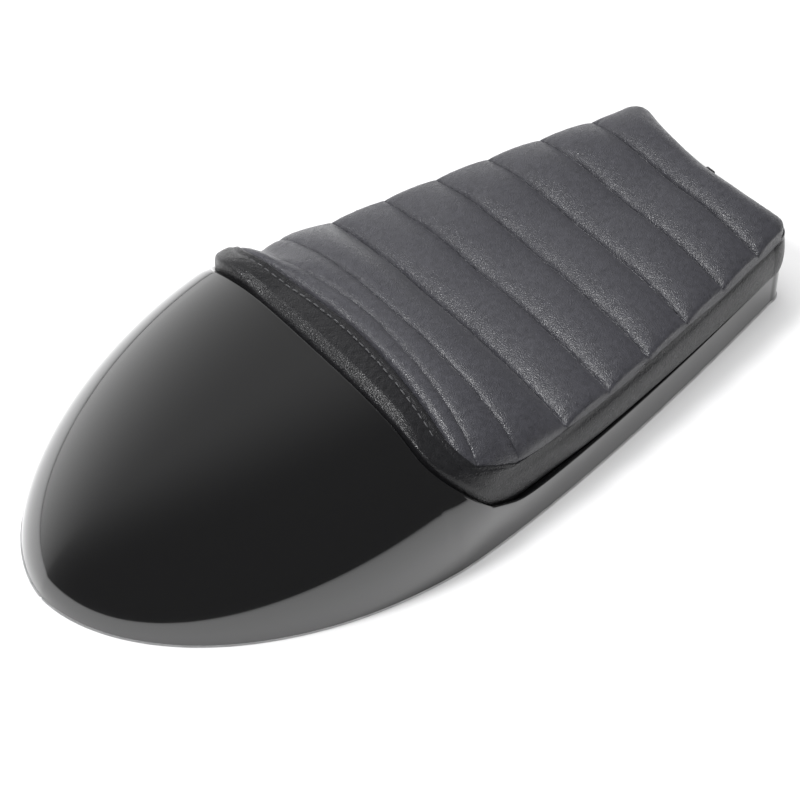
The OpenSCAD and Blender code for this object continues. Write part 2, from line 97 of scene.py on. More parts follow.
# Sewing on the band: its wrinkles, puckers at the seam, swelling, tuck, welt and stitch valley
WRINKLE, WRINKLE_MORE, WRINKLE_WAY, WRINKLE_WIDTH = 0.05, 0.28, 0.46, 0.2
WRINKLED_Y, WRINKLED_RUN, WRINKLED_LEAST = -62.0, 45.0, 0.35
PUCKER, PUCKER_L, PUCKER_FADE = 0.25, 3.3, 5.0
BAND_SWELL, BAND_SWELL_L = 0.5, 38.0
BAND_TUCK, BAND_TUCK_FADE, WELT, WELT_IN, WELT_W = 2.4, 0.9, 0.9, 2.4, 1.8
VALLEY, VALLEY_W = 0.8, 1.7
BOLSTER_PAST, BOLSTER_RUN, BOLSTER_MIDDLE, BOLSTER_SIDE = 30.0, 60.0, 70.0, 45.0
BAND_FOOT, BAND_INSIDE = 0.6, ((0.97, 7.0), (0.75, 9.0), (0.35, 12.0))
BAND_BACK = ((BAND_T - 1, 14.0), (BAND_T - 1, 0.5), (2.0, 0.3))

# The pad's left side in the photograph: its front corner is fuller and its rear end lifts behind
# a notch. All of it fades out from UNEVEN_H over the deck down to the deck.
UNEVEN_H = 25.0
LEFT_LIFT, LEFT_SPREAD, LEFT_X, LEFT_RUN, LEFT_REACH = 8.0, 5.0, -40.0, 330.0, 80.0
LEFT_CORNER, LEFT_CORNER_R = 4.0, 15.0
TAIL_LIFT, TAIL_LIFT_X, TAIL_LIFT_RUN, TAIL_LIFT_Y, TAIL_LIFT_REACH = 8.0, -25.0, 30.0, 55.0, 55.0
NOTCH_H, NOTCH_BACK, NOTCH_L, NOTCH_Y, NOTCH_REACH = 7.0, 4.0, 13.0, 70.0, 50.0
TAB_UP, TAB_ROUND = 7.0, 1.4

# Lacquered face: skin over the moulding, the turned lip with its falling horn, the bottom rim coloured pale
# as a painted highlight
SKIN, TAIL_GAP = 0.15, 0.02
LIP_R, LIP_OVER, LIP_CURL, LIP_BEND = 1.1, 0.4, 0.25, 0.4
LIP_STAND, LIP_RUN, LIP_SMOOTHING, FLANGE_H = 0.3, 16.0, 40, 6.0
HORN_H, HORN_X, HORN_FALL, HORN_FROM = 13.0, 38.0, 14.0, 50.0
UPRIGHT_FROM, UPRIGHT_RUN, WALL_TURN = 20.0, 40.0, 6
LIP_FOOT, FOOT_STEPS = 0.3, (0.35, 0.7, 1.0)
DECK_ROWS = ((0.4, 0.25), (1.2, 0.0), (8.0, 0.0), (20.0, 0.0))
# The last of these is the share of the rim's height that is coloured pale as a painted highlight.
RIM_H, RIM_OUT, HIGHLIGHT_RIM_SHARE = 1.0, 0.9, 0.6
TAIL_N, ARC_N, SIDE_N, CORNER_N, FRONT_N, UP_N, TOP_N, LIP_N = 90, 60, 150, 20, 36, 56, 110, 7

# Meshes of the covers: points to a rib, across the cover, along and up the band, and the foam
RIB_N, SLOPE_RIB_N, COVER_N = 46, 26, 181
BAND_COUNTS, BAND_UP_N = (150, 70, 200, 36, 50), 58
FOAM_ALONG_N, FOAM_ACROSS_N, STITCH_POINTS = 90, 61, 9

# Stations worked out from the sizes above
TAIL_X = -SEAT_L / 2
FRONT_X = SEAT_L / 2 - PAD_OVER
WIDE_X = FRONT_X - WIDEST_BACK
LIP_X = FRONT_X - LIP_BACK
PAD_X = LIP_X + RECESS_GAP
ARC_X = PAD_X + PAD_REAR_R
SEAM_X = PAD_X + BOLSTER_D
SIDE_END = FRONT_X - CORNER_R
COVER_END = FRONT_X + PAD_OVER - SEAM_LAP
NOSE_RUN = NOSE_L + PAD_OVER - SEAM_LAP
GROOVE_1 = FRONT_X - FRONT_RIB_L - RIB_COUNT * RIB_PITCH
GROOVE_0 = GROOVE_1 - SLOPE_RIB_L
GROOVE_2 = GROOVE_1 + RIB_PITCH
FOAM_IN = PAD_REAR_IN + BAND_T

# Studio, in metres and watts: the dark room, the pale wall on the object's left, floor and lamps
ROOM, LEFT_WALL, LEFT_WALL_POWER = 0.11, 1.2, 3.2
FLOOR_GLOW, MIRRORED_GLOW, FLOOR_SIZE, FLOOR_Z = 0.2, 0.05, 14, -0.0002
LAMP_AIM = (0, 0, 0.05)
SOFTBOX = {"direction": (-0.52, 0.14, 0.84), "distance": 1.7, "size": 0.34, "energy": 20}
TOP_FILL = {"direction": (0.13, 0.1, 1.0), "distance": 2.2, "size": 2.3, "energy": 57}
LEATHER_PIECES = ("ribbed_cover", "band_and_bolster", "front_seam_tab", "topstitch_thread")

# The photograph's camera, solved from its outline
CAM_AZ, CAM_EL, CAM_ROLL = -37.92, 44.52, 0.26
CAM_FOCAL_PX, CAM_DISTANCE, CAM_TARGET = 2421.11, 1682.1, (-25.1, -29.41, 40.0)
PHOTO_PX, SENSOR = 800, 36


# Curves

def mix(a, b, t):
    return a + (b - a) * t


def smooth(t):
    c = np.clip(t, 0, 1)
    return c * c * (3 - 2 * c)


def dome(v, power):
    """Superellipse of height 1 over v between -1 and 1."""
    return np.clip(1 - np.clip(np.abs(v), 0, 1) ** power, 0, 1) ** (1 / power)


def knee(t, r):
    """t where it is positive and nothing where it is negative, rounded by r."""
    return (t + np.sqrt(t ** 2 + r ** 2)) / 2


def eased(n, share):
    """n steps from 0 to 1, drawn together at both ends by share."""
    t = np.linspace(0, 1, n)
    return mix(t, 0.5 - 0.5 * np.cos(math.pi * t), share)


def quarter(n):
    """Angles of a quarter turn in n steps, without the start."""
    return np.arange(1, n + 1) / n * math.pi / 2


def noise(u, v, seed):
    """Smooth noise between -1 and 1 at u, v, one lattice cell to a unit."""
    cells = 97
    table = np.random.default_rng(seed).uniform(-1, 1, (cells, cells))
    u, v = np.broadcast_arrays(np.asarray(u, float), np.asarray(v, float))
    i, j = np.floor(u).astype(int), np.floor(v).astype(int)
    a, b = smooth(u - i), smooth(v - j)
    rows = [mix(table[(i + k) % cells, j % cells], table[(i + k) % cells, (j + 1) % cells], b)
            for k in (0, 1)]
    return mix(rows[0], rows[1], a)


# The seat's form, as in the part's source

def half_w(x):
    """Half width of the shell at station x."""
    x = np.asarray(x, float)
    front = np.clip((x - WIDE_X) / (FRONT_X - WIDE_X), 0, None) ** FRONT_TAPER
    rear = np.clip((WIDE_X - x) / (WIDE_X - TAIL_X), 0, 1) ** TAIL_FULL
    return np.where(x >= WIDE_X, SEAT_W / 2 - (SEAT_W - FRONT_W) / 2 * front,
                    SEAT_W / 2 * (1 - rear) ** (1 / TAIL_ROUND))


def crest_z(x):
    """Height of the hump's crest at station x."""
    x = np.asarray(x, float)
    rise = np.clip((LIP_X - x) / (LIP_X - TAIL_X), 0, 1) ** HUMP_RISE
    return np.where(x <= LIP_X, HUMP_H * (1 - rise) ** (1 / HUMP_CREST),
                    mix(HUMP_H, DECK_Z, smooth((x - LIP_X) / SHOULDER_L)))


def square_at(x):
    """Squareness of the hump's section at station x."""
    x = np.asarray(x, float)
    return np.where(x <= LIP_X, mix(TAIL_SQUARE, LIP_SQUARE, (x - TAIL_X) / (LIP_X - TAIL_X)),
                    mix(LIP_SQUARE, DECK_SQUARE, smooth((x - LIP_X) / SHOULDER_L)))


def hump_z(x, y):
    """Height of the hump at x, y."""
    w, h, a = half_w(x), crest_z(x), square_at(x)
    return h * np.clip(1 - np.clip(np.abs(y) / w, 0, 1) ** a, 0, 1) ** (1 / a)


def seam_z(x):
    return mix(SEAM_REAR_Z, SEAM_FRONT_Z, (x - LIP_X) / (FRONT_X - LIP_X))


def seam_in(x):
    return mix(SEAM_REAR_IN, SEAM_FRONT_IN, (x - GROOVE_1) / (FRONT_X - GROOVE_1))


def corner_cut(t, r):
    """Reduction of the half width t past the start of a corner of radius r."""
    return np.where(t >= r, 0, r - np.sqrt(np.clip(r * r - (r - t) ** 2, 0, None)))


def bolster_at(x):
    """Share of the bolster's height at station x, 1 over the lip and 0 at the first full rib's end."""
    run = np.clip((x - PAD_X - BOLSTER_FLAT) / (GROOVE_2 - PAD_X - BOLSTER_FLAT), 0, 1)
    return 1 - run ** BOLSTER_FALL


def base_z(x, y):
    """Height of the seam line at x, y, raised over the bolster."""
    lift = bolster_at(x) * (HUMP_H + BOLSTER_RISE - seam_z(x))
    return seam_z(x) + lift * dome(y / (half_w(x) - seam_in(x)), BOLSTER_SQUARE)


def swept(x, y):
    """Station x swept towards the tail at the distance y from the middle."""
    sweep = np.interp(x, [SEAM_X, GROOVE_0, GROOVE_1, GROOVE_2],
                      [SEAM_SWEEP, GROOVE_0_SWEEP, GROOVE_1_SWEEP, 0])
    return x - sweep * np.abs(y / (half_w(x) - seam_in(x))) ** SWEEP_POWER


def edge_z(x, y):
    """Height of the pad's rolled edge: over the lip, or beside the deck."""
    beside = seam_z(x) - ROLL_DROP
    over = crest_z(x) * dome(y / half_w(x), square_at(x)) + ROLL_RISE
    return (beside + over + np.sqrt((beside - over) ** 2 + ROLL_BLEND ** 2)) / 2


def roll_z(foot, seam, reach, way):
    """Height of the band's top at a share of its way from the rolled edge to the seam."""
    return mix(foot, seam, 1 - (1 - way) ** 2) + ROLL_BOW * reach * np.sin(math.pi * way)


def nose(x, power):
    """Fall of the pad's top towards its front seam."""
    return dome(np.clip(x - FRONT_X + NOSE_L, 0, None) / NOSE_RUN, power)


def pad_z(x, y, v):
    """The pad's smooth top under its ribs, at share v of its half width."""
    crown = np.where(x < GROOVE_2, smooth((x - SEAM_X) / (GROOVE_2 - SEAM_X)), nose(x, NOSE_POWER))
    shoulder = np.where(x < GROOVE_2, 1 - bolster_at(x), nose(x, SHOULDER_POWER))
    return (base_z(x, y) + SHOULDER_RISE * shoulder * dome(v, SHOULDER_POWER)
            + CROWN * crown * (1 - np.abs(v) ** CROWN_POWER))


def cover_half(x):
    return (half_w(x) - seam_in(x) - corner_cut(x - SEAM_X, SEAM_REAR_R)
            - corner_cut(COVER_END - x, SEAM_CORNER_R))


def foam_half(x):
    return (half_w(x) - FOAM_IN - corner_cut(x - PAD_X - BAND_T, PAD_REAR_R - BAND_T)
            - corner_cut(FRONT_X - FOAM_IN - x, PAD_FRONT_R - BAND_T))


def hollow(x, v):
    """Shift towards the tail by the hollow of the front edge."""
    return FRONT_HOLLOW * (1 - v * v) * smooth((x - FRONT_X + HOLLOW_RUN) / HOLLOW_BLEND)


def outline(x_rear, r_rear, in_rear, in_front, x_end, r_front, counts):
    """Half outline seen from above, from the rear middle to the front middle, on the -Y side."""
    xs, xe = x_rear + r_rear, x_end - r_front

    def side(x):
        return -(half_w(x) - mix(in_rear, in_front, (x - xs) / (xe - xs)))

    yr, yf = side(xs) + r_rear, side(xe) + r_front
    n_rear, n_arc, n_side, n_corner, n_front = counts
    rear = np.c_[np.full(n_rear, x_rear), yr * (np.arange(n_rear) / n_rear)]
    a = np.arange(n_arc) / n_arc * math.pi / 2
    arc = np.c_[xs - r_rear * np.cos(a), yr - r_rear * np.sin(a)]
    x = mix(xs, xe, np.arange(n_side) / n_side)
    a = np.arange(n_corner) / n_corner * math.pi / 2
    corner = np.c_[xe + r_front * np.sin(a), yf - r_front * np.cos(a)]
    v = 1 - np.arange(n_front) / (n_front - 1)
    front = np.c_[x_end - FRONT_HOLLOW * (1 - v * v), yf * v]
    half = np.vstack([rear, arc, np.c_[x, side(x)], corner, front])
    return np.vstack([half, half[-2:0:-1] * MIRROR[:2]])


def uneven(points):
    """The hand-sewn pad's unevenness on its left side, in the band and the cover alike."""
    points = np.array(points, float)
    x, y, z = (points[..., i].copy() for i in range(3))
    upper = smooth((z - DECK_Z) / UNEVEN_H)
    front = smooth((x - LEFT_X) / LEFT_RUN) * smooth(y / LEFT_REACH) * upper
    tail = smooth((TAIL_LIFT_X - x) / TAIL_LIFT_RUN) * smooth((y - TAIL_LIFT_Y) / TAIL_LIFT_REACH) * upper
    notch = np.exp(-((x - GROOVE_0 + NOTCH_BACK) / NOTCH_L) ** 2)
    notch = notch * smooth((y - NOTCH_Y) / NOTCH_REACH) * upper
    corner = np.exp(-((x - FRONT_X) ** 2 + (y - FRONT_W / 2) ** 2) / LEFT_CORNER_R ** 2) * upper
    points[..., 0] += LEFT_CORNER * corner
    points[..., 1] += LEFT_SPREAD * front + LEFT_CORNER * corner
    points[..., 2] += LEFT_LIFT * front + TAIL_LIFT * tail - NOTCH_H * notch
    return points


# Meshes

def link(obj):
    bpy.context.scene.collection.objects.link(obj)
    return obj


def shade_smooth(mesh):
    mesh.polygons.foreach_set("use_smooth", [True] * len(mesh.polygons))


def mesh_object(name, points, faces, material):
    """A smooth-shaded mesh from points in millimetres."""
    mesh = bpy.data.meshes.new(name)
    mesh.from_pydata([tuple(p) for p in np.asarray(points) * MM], [], [tuple(f) for f in faces])
    shade_smooth(mesh)
    mesh.materials.append(material)
    mesh.update()
    return link(bpy.data.objects.new(name, mesh))


def grid_faces(rows, cols, wrap_rows=False, wrap_cols=False, start=0):
    """Quads of a rows x cols grid of points."""
    i = np.arange(rows if wrap_rows else rows - 1)[:, None]
    j = np.arange(cols if wrap_cols else cols - 1)[None, :]
    below, above = i * cols, (i + 1) % rows * cols
    after = (j + 1) % cols
    return np.stack([below + j, below + after, above + after, above + j], -1).reshape(-1, 4) + start


def weld(obj, distance=0.001):
    """Joins points that lie together and turns the faces outwards."""
    bm = bmesh.new()
    bm.from_mesh(obj.data)
    bmesh.ops.remove_doubles(bm, verts=bm.verts, dist=distance * MM)
    bmesh.ops.recalc_face_normals(bm, faces=bm.faces)
    bm.to_mesh(obj.data)
    bm.free()
    shade_smooth(obj.data)
    return obj


def closed_cover(name, top, low, material):
    """Closed form from a grid of points and the height of its underside at each x."""
    m, n = top.shape[:2]
    points = top.reshape(-1, 3)
    rim = np.concatenate([np.arange(n), np.arange(1, m) * n + n - 1,
                          (m - 1) * n + np.arange(n - 2, -1, -1), np.arange(m - 2, 0, -1) * n])
    under = points[rim].copy()
    under[:, 2] = low(under[:, 0])
    i = np.arange(len(rim))
    j = (i + 1) % len(rim)
    skirt = np.stack([rim[i], m * n + i, m * n + j, rim[j]], -1)
    faces = [*grid_faces(m, n), *skirt, m * n + i[::-1]]
    return weld(mesh_object(name, np.vstack([points, under]), faces, material))


# Materials

NOISE_LOW, NOISE_HIGH = 0.3, 0.7


def principled(name, color, roughness, **sockets):
    material = bpy.data.materials.new(name)
    material.use_nodes = True
    bsdf = shader(material)
    bsdf.inputs["Base Color"].default_value = (*color, 1)
    bsdf.inputs["Roughness"].default_value = roughness
    for key, value in sockets.items():
        bsdf.inputs[key.replace("_", " ")].default_value = value
    return material


def shader(material):
    return material.node_tree.nodes["Principled BSDF"]


def add(owner, kind, **values):
    """A node in a material or world, with its sockets or settings set by name."""
    node = owner.node_tree.nodes.new(kind)
    for key, value in values.items():
        if key in node.inputs:
            node.inputs[key].default_value = value
        else:
            setattr(node, key, value)
    return node


def calculate(owner, operation, *values):
    """A math node whose second and third inputs have the values given."""
    node = add(owner, "ShaderNodeMath", operation=operation)
    for i, value in enumerate(values):
        node.inputs[i + 1].default_value = value
    return node


def wire(owner, a, a_socket, b, b_socket):
    owner.node_tree.links.new(a.outputs[a_socket], b.inputs[b_socket])


def texture(material, kind, **values):
    """A texture node that reads the object's coordinates."""
    coords = add(material, "ShaderNodeTexCoord")
    node = add(material, kind, **values)
    wire(material, coords, "Object", node, "Vector")
    return node


def noise_node(material, scale, detail=4.0, rough=0.5):
    return texture(material, "ShaderNodeTexNoise", Scale=scale, Detail=detail, Roughness=rough)


def vary(material, low, high, scale):
    """Lets the roughness wander between low and high."""
    source = noise_node(material, scale)
    span = add(material, "ShaderNodeMapRange")
    for key, value in (("From Min", NOISE_LOW), ("From Max", NOISE_HIGH), ("To Min", low), ("To Max", high)):
        span.inputs[key].default_value = value
    wire(material, source, "Fac", span, "Value")
    wire(material, span, "Result", shader(material), "Roughness")


def shade(material, source, first, second, low, high):
    """Takes the base colour from first to second as the source goes from low to high."""
    ramp = add(material, "ShaderNodeValToRGB")
    for element, place, color in zip(ramp.color_ramp.elements, (low, high), (first, second)):
        element.position = place
        element.color = (*color, 1)
    wire(material, source, "Fac", ramp, "Fac")
    wire(material, ramp, "Color", shader(material), "Base Color")


def tint(material, first, second, scale):
    """Lets the base colour wander between two colours."""
    shade(material, noise_node(material, scale), first, second, NOISE_LOW, NOISE_HIGH)


def bumps(material, *layers):
    """Stacks bump layers: (height node, its output, depth in mm, strength)."""
    last = None
    for node, output, depth, strength in layers:
        bump = add(material, "ShaderNodeBump", Strength=strength, Distance=depth * MM)
        wire(material, node, output, bump, "Height")
        if last:
            wire(material, last, "Normal", bump, "Normal")
        last = bump
    wire(material, last, "Normal", shader(material), "Normal")


def leather(name, color, roughness, specular):
    """Pebbled upholstery leather."""
    material = principled(name, color, roughness, Sheen_Weight=0.04, Sheen_Roughness=0.4,
                          Specular_IOR_Level=specular)
    pebble = texture(material, "ShaderNodeTexVoronoi", Scale=1150.0, feature="SMOOTH_F1")
    bumps(material, (noise_node(material, 2600, 3), "Fac", 0.1, 0.6),
          (pebble, "Distance", 0.4, 0.9),
          (noise_node(material, 160, 5, 0.6), "Fac", 0.9, 0.35))
    vary(material, roughness - 0.07, roughness + 0.1, 320)
    tint(material, [c * 0.82 for c in color], [c * 1.22 for c in color], 260)
    return material


def gloss_shell():
    """Polished black lacquer with the faintest ripple."""
    material = principled("shell gloss", (0.0045, 0.0045, 0.005), 0.09, Coat_Weight=1.0,
                          Coat_Roughness=0.02, Coat_IOR=1.6, Specular_IOR_Level=0.6)
    vary(material, 0.06, 0.13, 9)
    bumps(material, (noise_node(material, 55, 2), "Fac", 0.05, 0.35))
    return material


def painted_rim_highlight():
    """The moulding's trimmed bottom edge, coloured pale as a painted highlight along it."""
    material = principled("shell edge painted highlight", (0.6, 0.6, 0.61), 0.4)
    vary(material, 0.32, 0.55, 200)
    tint(material, (0.5, 0.5, 0.51), (0.7, 0.7, 0.71), 90)
    return material


def raw_shell():
    """The moulding's unpolished inner face, with the print of the glass mat."""
    material = principled("shell inside", (0.012, 0.012, 0.013), 0.5, Specular_IOR_Level=0.4)
    bumps(material, (noise_node(material, 240, 6, 0.65), "Fac", 0.4, 0.5))
    vary(material, 0.38, 0.62, 60)
    tint(material, (0.009, 0.009, 0.01), (0.02, 0.02, 0.021), 90)
    return material


def plywood():
    """The board's bare plywood, its grain in bands."""
    material = principled("board ply", (0.36, 0.25, 0.15), 0.62)
    grain = texture(material, "ShaderNodeTexWave", Scale=22.0, Distortion=6.0, Detail=3.0)
    shade(material, grain, (0.26, 0.17, 0.095), (0.42, 0.3, 0.18), 0, 1)
    bumps(material, (grain, "Fac", 0.1, 0.3))
    return material


def open_foam():
    """Cut foam with open cells."""
    material = principled("foam cells", (0.75, 0.7, 0.5), 0.9, Sheen_Weight=0.2)
    cells = texture(material, "ShaderNodeTexVoronoi", Scale=600.0)
    bumps(material, (cells, "Distance", 0.6, 0.7))
    tint(material, (0.68, 0.62, 0.42), (0.8, 0.75, 0.56), 120)
    return material


def thread():
    """Twisted sewing thread."""
    material = principled("thread", (0.05, 0.05, 0.055), 0.55, Sheen_Weight=0.4)
    bumps(material, (noise_node(material, 2600, 3), "Fac", 0.15, 0.6))
    return material


def metal(name, color, roughness, scale):
    """Plated or turned metal with fine marks."""
    material = principled(name, color, roughness, Metallic=1.0)
    vary(material, roughness - 0.08, roughness + 0.1, scale)
    bumps(material, (noise_node(material, scale * 4, 3), "Fac", 0.04, 0.3))
    return material


LEATHER = leather("leather", (0.042, 0.042, 0.049), 0.32, 0.55)
# The band's leather is the top's leather with its colour darkened about fourfold: painted shade for the
# band's shaded sides.
SHADED_BAND_LEATHER = leather("leather band painted shade", (0.01, 0.01, 0.0112), 0.32, 0.45)
FINISH = {
    "tail_shell": raw_shell(),
    "base_board": plywood(),
    "pad_studs": metal("zinc plated studs", (0.62, 0.62, 0.64), 0.32, 300),
    "pad_washers": metal("zinc plated washers", (0.66, 0.66, 0.68), 0.36, 260),
    "pad_nuts": metal("zinc plated nuts", (0.6, 0.6, 0.62), 0.3, 280),
    "mount_bushes": metal("turned brass", (0.75, 0.6, 0.32), 0.28, 240),
}


# The lacquered outer face of the moulding

def recess_y(x, grow):
    """Half width of the recess at x, its wall moved out by grow, and the width of its straight end."""
    d = RECESS_GAP + grow
    r = PAD_REAR_R + d
    xe = FRONT_X + RECESS_PAST - PAD_FRONT_R
    inset = mix(PAD_REAR_IN - d, PAD_FRONT_IN - d, np.clip((x - ARC_X) / (xe - ARC_X), 0, 1))
    mid = float(half_w(ARC_X)) - (PAD_REAR_IN - d) - r
    arc = mid + np.sqrt(np.clip(r * r - (ARC_X - x) ** 2, 0, None))
    return np.where(x < ARC_X, arc, half_w(x) - inset), mid


def rise(top):
    """Heights up a belt, one row to a station: the floor, the pale rim painted as a highlight and on up to
    the top.
    """
    return np.c_[np.zeros(len(top)), mix(RIM_H, top[:, None], np.linspace(0, 1, UP_N - 1))]


def section_y(x, z):
    """Half width of the shell's sections at the stations x and the heights z, one row to each."""
    w, h, a = (q[:, None] for q in (half_w(x), crest_z(x), square_at(x)))
    return w * np.clip(1 - (z / h) ** a, 0, 1) ** (1 / a)


def belt(x, y, z):
    """Grid of points on the -Y side from stations and rows of half widths and heights."""
    return np.stack([np.repeat(x[:, None], UP_N, 1), -y, z], -1)


def tail_grids(x, share):
    """The hump behind the lip: its side, and its cap on top within share of the half width."""
    w, h, a = half_w(x), crest_z(x), square_at(x)
    z = rise(h * (1 - share ** a) ** (1 / a))
    y = (w * share)[:, None] * np.cos(np.linspace(0, math.pi, TOP_N))[None, :]
    a = a[:, None]
    cap_z = h[:, None] * (1 - (np.abs(y) / w[:, None]) ** a) ** (1 / a)
    return belt(x, section_y(x, z), z), np.stack([np.repeat(x[:, None], TOP_N, 1), y, cap_z], -1)


def lip_heights(x, lip_y, mid_half):
    """Top of the lip beside the pad: as high as the hump behind it, then falling as a horn."""
    past = x - LIP_X
    turn = np.stack([np.clip(ARC_X - x, 0, None), lip_y - mid_half])
    turn /= np.linalg.norm(turn, axis=0)
    turn[:, x >= ARC_X] = [[0], [1]]
    behind = hump_z(x + turn[0] * LIP_R, lip_y - turn[1] * LIP_R)
    horn = DECK_Z + HORN_H * np.exp(-(past - HORN_X) / HORN_FALL)
    top = mix(hump_z(x, lip_y), behind + LIP_STAND, smooth(past / LIP_RUN))
    top = mix(top, horn, smooth((past - HORN_FROM) / LIP_RUN))
    for _ in range(LIP_SMOOTHING):
        top[1:-1] = (top[:-2] + 2 * top[1:-1] + top[2:]) / 4
    return top


def side_grid(x, lip_y, lip_top, flange):
    """The wall beside the pad. It meets the lip's own width where the section is straightened."""
    past = x - LIP_X
    w = half_w(x)
    z = rise(lip_top - LIP_R * smooth(past / LIP_RUN))
    upright = smooth((past - UPRIGHT_FROM) / UPRIGHT_RUN)
    y = mix(section_y(x, z), w[:, None], upright[:, None])
    miss = mix(w, lip_y, flange) - y[:, -1]
    return belt(x, y + miss[:, None] * np.linspace(0, 1, UP_N)[None, :] ** WALL_TURN, z)


def front_grid(middle_y):
    """The front corner round middle_y and half of the hollow front face."""
    a = quarter(CORNER_N)
    v = 1 - (np.arange(FRONT_N) + 1) / FRONT_N
    x = np.concatenate([SIDE_END + CORNER_R * np.sin(a), FRONT_X - FRONT_HOLLOW * (1 - v * v)])
    y = np.concatenate([middle_y - CORNER_R * np.cos(a), middle_y * v])
    z = np.repeat(rise(np.array([DECK_Z - LIP_R])), len(x), 0)
    return belt(x, np.repeat(-y[:, None], UP_N, 1), z)


def lip_grid(rim, into, tops, over):
    """From the rim over the lip's rounded edge, down its inner face and onto the deck."""
    edge, bend = rim.copy(), rim.copy()
    edge[:, :2] += into * (LIP_R + LIP_OVER * over)[:, None]
    edge[:, 2] = tops - LIP_CURL * over
    bend[:, :2] += into * (LIP_BEND * LIP_R * over)[:, None]
    bend[:, 2] = tops + LIP_CURL * over
    rows = [mix(mix(rim, bend, t), mix(bend, edge, t), t) for t in np.linspace(0, 1, LIP_N)]
    foot = edge.copy()
    foot[:, 2] = np.minimum(edge[:, 2], DECK_Z + LIP_FOOT)
    rows += [mix(edge, foot, down) for down in FOOT_STEPS]
    for reach, height in DECK_ROWS:
        row = foot.copy()
        row[:, :2] += into * reach
        row[:, 2] = DECK_Z + height
        rows.append(row)
    return np.stack(rows)


def lay_on(mesh):
    """Lifts the lacquer off the moulding by its skin, turns its bottom edge out and colours that edge pale
    as a painted highlight.
    """
    normals = np.array([tuple(v.normal) for v in mesh.vertices])
    co = np.array([tuple(v.co) for v in mesh.vertices])
    if (normals * (co - [0, 0, DECK_Z * MM])).sum() < 0:
        mesh.flip_normals()
        normals = -normals
    # The faces at the foot of the rim take a pale colour: a painted highlight along the bottom edge.
    mesh.materials.append(painted_rim_highlight())
    for face in mesh.polygons:
        face.material_index = int(face.center.z < HIGHLIGHT_RIM_SHARE * RIM_H * MM)
    low = co[:, 2] < 0.001 * MM
    co = co + normals * SKIN * MM
    co[low, 2] = 0.0
    level = normals[low, :2] / np.linalg.norm(normals[low, :2], axis=1)[:, None]
    co[low, :2] += level * RIM_OUT * MM
    mesh.vertices.foreach_set("co", co.ravel())
    mesh.update()


def shell_face():
    """Outer face from the bottom rim to the lip, over the lip and onto the edge of the deck."""
    start_x = LIP_X - LIP_R
    mid_half = recess_y(start_x, LIP_R)[1]
    tail_x = mix(TAIL_X + TAIL_GAP, start_x, (np.arange(TAIL_N) / (TAIL_N - 1)) ** 2)
    tail, cap = tail_grids(tail_x, mid_half / float(half_w(start_x)))

    arc = start_x + (ARC_X - start_x) * (1 - np.cos(quarter(ARC_N)))
    x = np.concatenate([arc, mix(arc[-1], SIDE_END, (np.arange(SIDE_N) + 1) / SIDE_N)])
    lip_y = np.minimum(recess_y(x, LIP_R)[0], half_w(x))
    lip_top = lip_heights(x, lip_y, mid_half)
    flange = smooth((lip_top - DECK_Z) / FLANGE_H)
    side = side_grid(x, lip_y, lip_top, flange)
    middle_y = CORNER_R - float(half_w(SIDE_END))
    front = front_grid(middle_y)

    # The rim's points, the way from each into the recess, and how far the lip is turned over there
    straight = np.vstack([[[start_x, 0.0, float(hump_z(start_x, 0.0))]], cap[-1][TOP_N // 2:]])
    side_rim, front_rim = side[:, -1], front[:, -1]
    ways = [np.tile([1.0, 0.0], (len(straight), 1)),
            np.where(side_rim[:, :1] < ARC_X, [ARC_X, -mid_half] - side_rim[:, :2], [0.0, 1.0]),
            [SIDE_END, middle_y] - front_rim[:CORNER_N, :2],
            np.tile([-1.0, 0.0], (FRONT_N, 1))]
    into = np.vstack(ways)
    into /= np.linalg.norm(into, axis=1)[:, None]
    over = np.concatenate([np.ones(len(straight)), flange, np.zeros(len(front))])
    tops = np.concatenate([straight[:, 2], lip_top, np.full(len(front), DECK_Z)])
    lip = lip_grid(np.vstack([straight, side_rim, front_rim]), into, tops, over)

    wall = np.concatenate([tail, side, front])
    points, faces, start = [], [], 0
    for grid in (wall, wall * MIRROR, cap, lip, lip * MIRROR):
        rows, cols = grid.shape[:2]
        points.append(grid.reshape(-1, 3))
        faces.append(grid_faces(rows, cols, start=start))
        start += rows * cols
    obj = weld(mesh_object("shell_lacquer", np.vstack(points), np.vstack(faces), gloss_shell()), 0.02)
    lay_on(obj.data)
    return obj


# The sewn covers

def rib_stations():
    """Stations along the cover with each one's share of its rib, the rib's height and its number."""
    ends = [SEAM_X, GROOVE_0] + [GROOVE_1 + k * RIB_PITCH for k in range(RIB_COUNT + 1)] + [COVER_END]
    x, s, h, k = [], [], [], []
    for i, (a, b) in enumerate(zip(ends[:-1], ends[1:])):
        n = SLOPE_RIB_N if i < SLOPE_RIBS else RIB_N
        t = np.arange(n) / n
        t = mix(t, 0.5 - 0.5 * np.cos(math.pi * t), 0.75)
        x.append(mix(a, b, t))
        s.append(t)
        h.append(np.full(n, SLOPE_RIB_H if i < SLOPE_RIBS else RIB_H))
        k.append(np.full(n, i))
    for values, last in ((x, ends[-1]), (s, 1.0), (h, RIB_H), (k, len(ends) - 2)):
        values.append([last])
    return [np.concatenate(q) for q in (x, s, h, k)]


def rolls(S, K, V, Y):
    """Round section of each rib, its ends at the side seam, and how full it is stuffed."""
    roll = np.clip(1 - np.abs(2 * S - 1) ** ROLL_POWER, 0, 1) ** ROLL_FULL
    right, left = dome(V, RIGHT_END), (1 - np.clip(V, 0, 1) ** LEFT_END) ** LEFT_END_FULL
    return roll, np.where(V < 0, right, left), 1 + STUFFING * noise(K * 3.7, Y / 55, 3)


